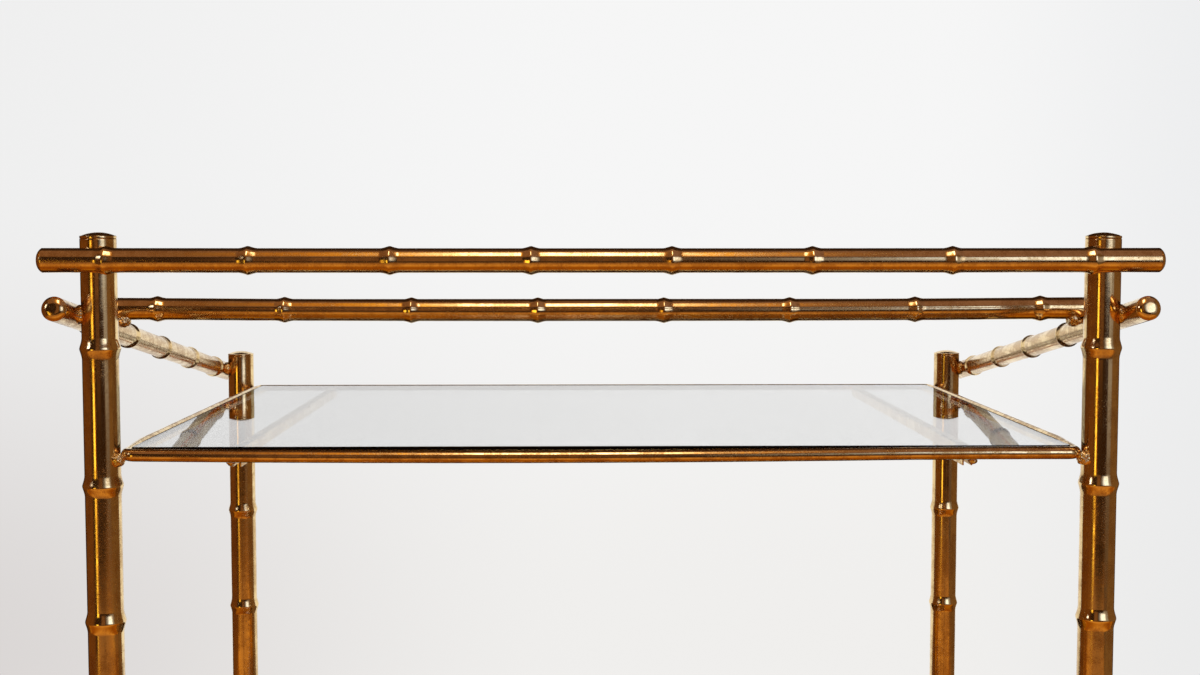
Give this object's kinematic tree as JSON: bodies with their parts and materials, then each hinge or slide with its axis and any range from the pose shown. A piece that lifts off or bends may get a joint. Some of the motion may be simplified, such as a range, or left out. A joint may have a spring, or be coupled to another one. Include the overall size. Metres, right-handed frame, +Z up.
{
  "type": "bar cart",
  "caption": "Serving cart on casters in brass bamboo tube, with a push handle, sloping side rails and glass shelves in brass frames.",
  "frame": {"origin": "on the floor, at the centre of the four legs", "axes": "+X along the handle, to the right as seen from the handle side; +Y from the handle side to the rear; +Z up"},
  "size_m": [0.6874, 0.4678, 0.7596],
  "materials": {
    "leg_brass": "aged polish",
    "rail_brass": "aged polish",
    "cap_brass": "aged polish",
    "frame_brass": "aged polish",
    "bearer_brass": "dull",
    "braze": "rough",
    "glass": "clear",
    "caster_brass": "plated",
    "steel": "plain",
    "wheel_disc": "matt",
    "tyre": "matt"
  },
  "bodies": {
    "cart": {"caster_sockets": "caster_brass", "caster_washers": "steel", "cross_rail": "rail_brass", "cross_rail_braze": "braze", "cross_rail_caps": "cap_brass", "front_left_leg": "leg_brass", "front_right_leg": "leg_brass", "handle_rail": "rail_brass", "handle_rail_braze": "braze", "handle_rail_caps": "cap_brass", "left_side_rail": "rail_brass", "leg_caps": "cap_brass", "lower_frame_braze": "braze", "lower_frame_front": "frame_brass", "lower_frame_rear": "frame_brass", "lower_glass": "glass", "lower_left_bearer": "bearer_brass", "lower_right_bearer": "bearer_brass", "rear_left_leg": "leg_brass", "rear_right_leg": "leg_brass", "right_side_rail": "rail_brass", "side_rail_braze": "braze", "side_rail_caps": "cap_brass", "upper_frame_braze": "braze", "upper_frame_front": "frame_brass", "upper_frame_rear": "frame_brass", "upper_glass": "glass", "upper_left_bearer": "bearer_brass", "upper_right_bearer": "bearer_brass"},
    "front_left_swivel": {"front_left_caster_fork": "caster_brass", "front_left_caster_stem": "steel", "front_left_caster_axle": "steel"},
    "front_left_wheel": {"front_left_wheel_disc": "wheel_disc", "front_left_tyre": "tyre"},
    "front_right_swivel": {"front_right_caster_fork": "caster_brass", "front_right_caster_stem": "steel", "front_right_caster_axle": "steel"},
    "front_right_wheel": {"front_right_wheel_disc": "wheel_disc", "front_right_tyre": "tyre"},
    "rear_left_swivel": {"rear_left_caster_fork": "caster_brass", "rear_left_caster_stem": "steel", "rear_left_caster_axle": "steel"},
    "rear_left_wheel": {"rear_left_wheel_disc": "wheel_disc", "rear_left_tyre": "tyre"},
    "rear_right_swivel": {"rear_right_caster_fork": "caster_brass", "rear_right_caster_stem": "steel", "rear_right_caster_axle": "steel"},
    "rear_right_wheel": {"rear_right_wheel_disc": "wheel_disc", "rear_right_tyre": "tyre"}
  },
  "joints": [
    {"name": "front_left_swivel_turn", "type": "hinge", "parent": "cart", "child": "front_left_swivel", "pos_m": [-0.312, -0.201, 0.0457], "axis": [0, 0, 1], "continuous": true},
    {"name": "front_left_wheel_spin", "type": "hinge", "parent": "front_left_swivel", "child": "front_left_wheel", "pos_m": [-0.312, -0.189, 0.02], "axis": [1, 0, 0], "continuous": true},
    {"name": "front_right_swivel_turn", "type": "hinge", "parent": "cart", "child": "front_right_swivel", "pos_m": [0.312, -0.201, 0.0457], "axis": [0, 0, 1], "continuous": true},
    {"name": "front_right_wheel_spin", "type": "hinge", "parent": "front_right_swivel", "child": "front_right_wheel", "pos_m": [0.312, -0.189, 0.02], "axis": [1, 0, 0], "continuous": true},
    {"name": "rear_left_swivel_turn", "type": "hinge", "parent": "cart", "child": "rear_left_swivel", "pos_m": [-0.312, 0.201, 0.0457], "axis": [0, 0, 1], "continuous": true},
    {"name": "rear_left_wheel_spin", "type": "hinge", "parent": "rear_left_swivel", "child": "rear_left_wheel", "pos_m": [-0.312, 0.213, 0.02], "axis": [1, 0, 0], "continuous": true},
    {"name": "rear_right_swivel_turn", "type": "hinge", "parent": "cart", "child": "rear_right_swivel", "pos_m": [0.312, 0.201, 0.0457], "axis": [0, 0, 1], "continuous": true},
    {"name": "rear_right_wheel_spin", "type": "hinge", "parent": "rear_right_swivel", "child": "rear_right_wheel", "pos_m": [0.312, 0.213, 0.02], "axis": [1, 0, 0], "continuous": true}
  ]
}
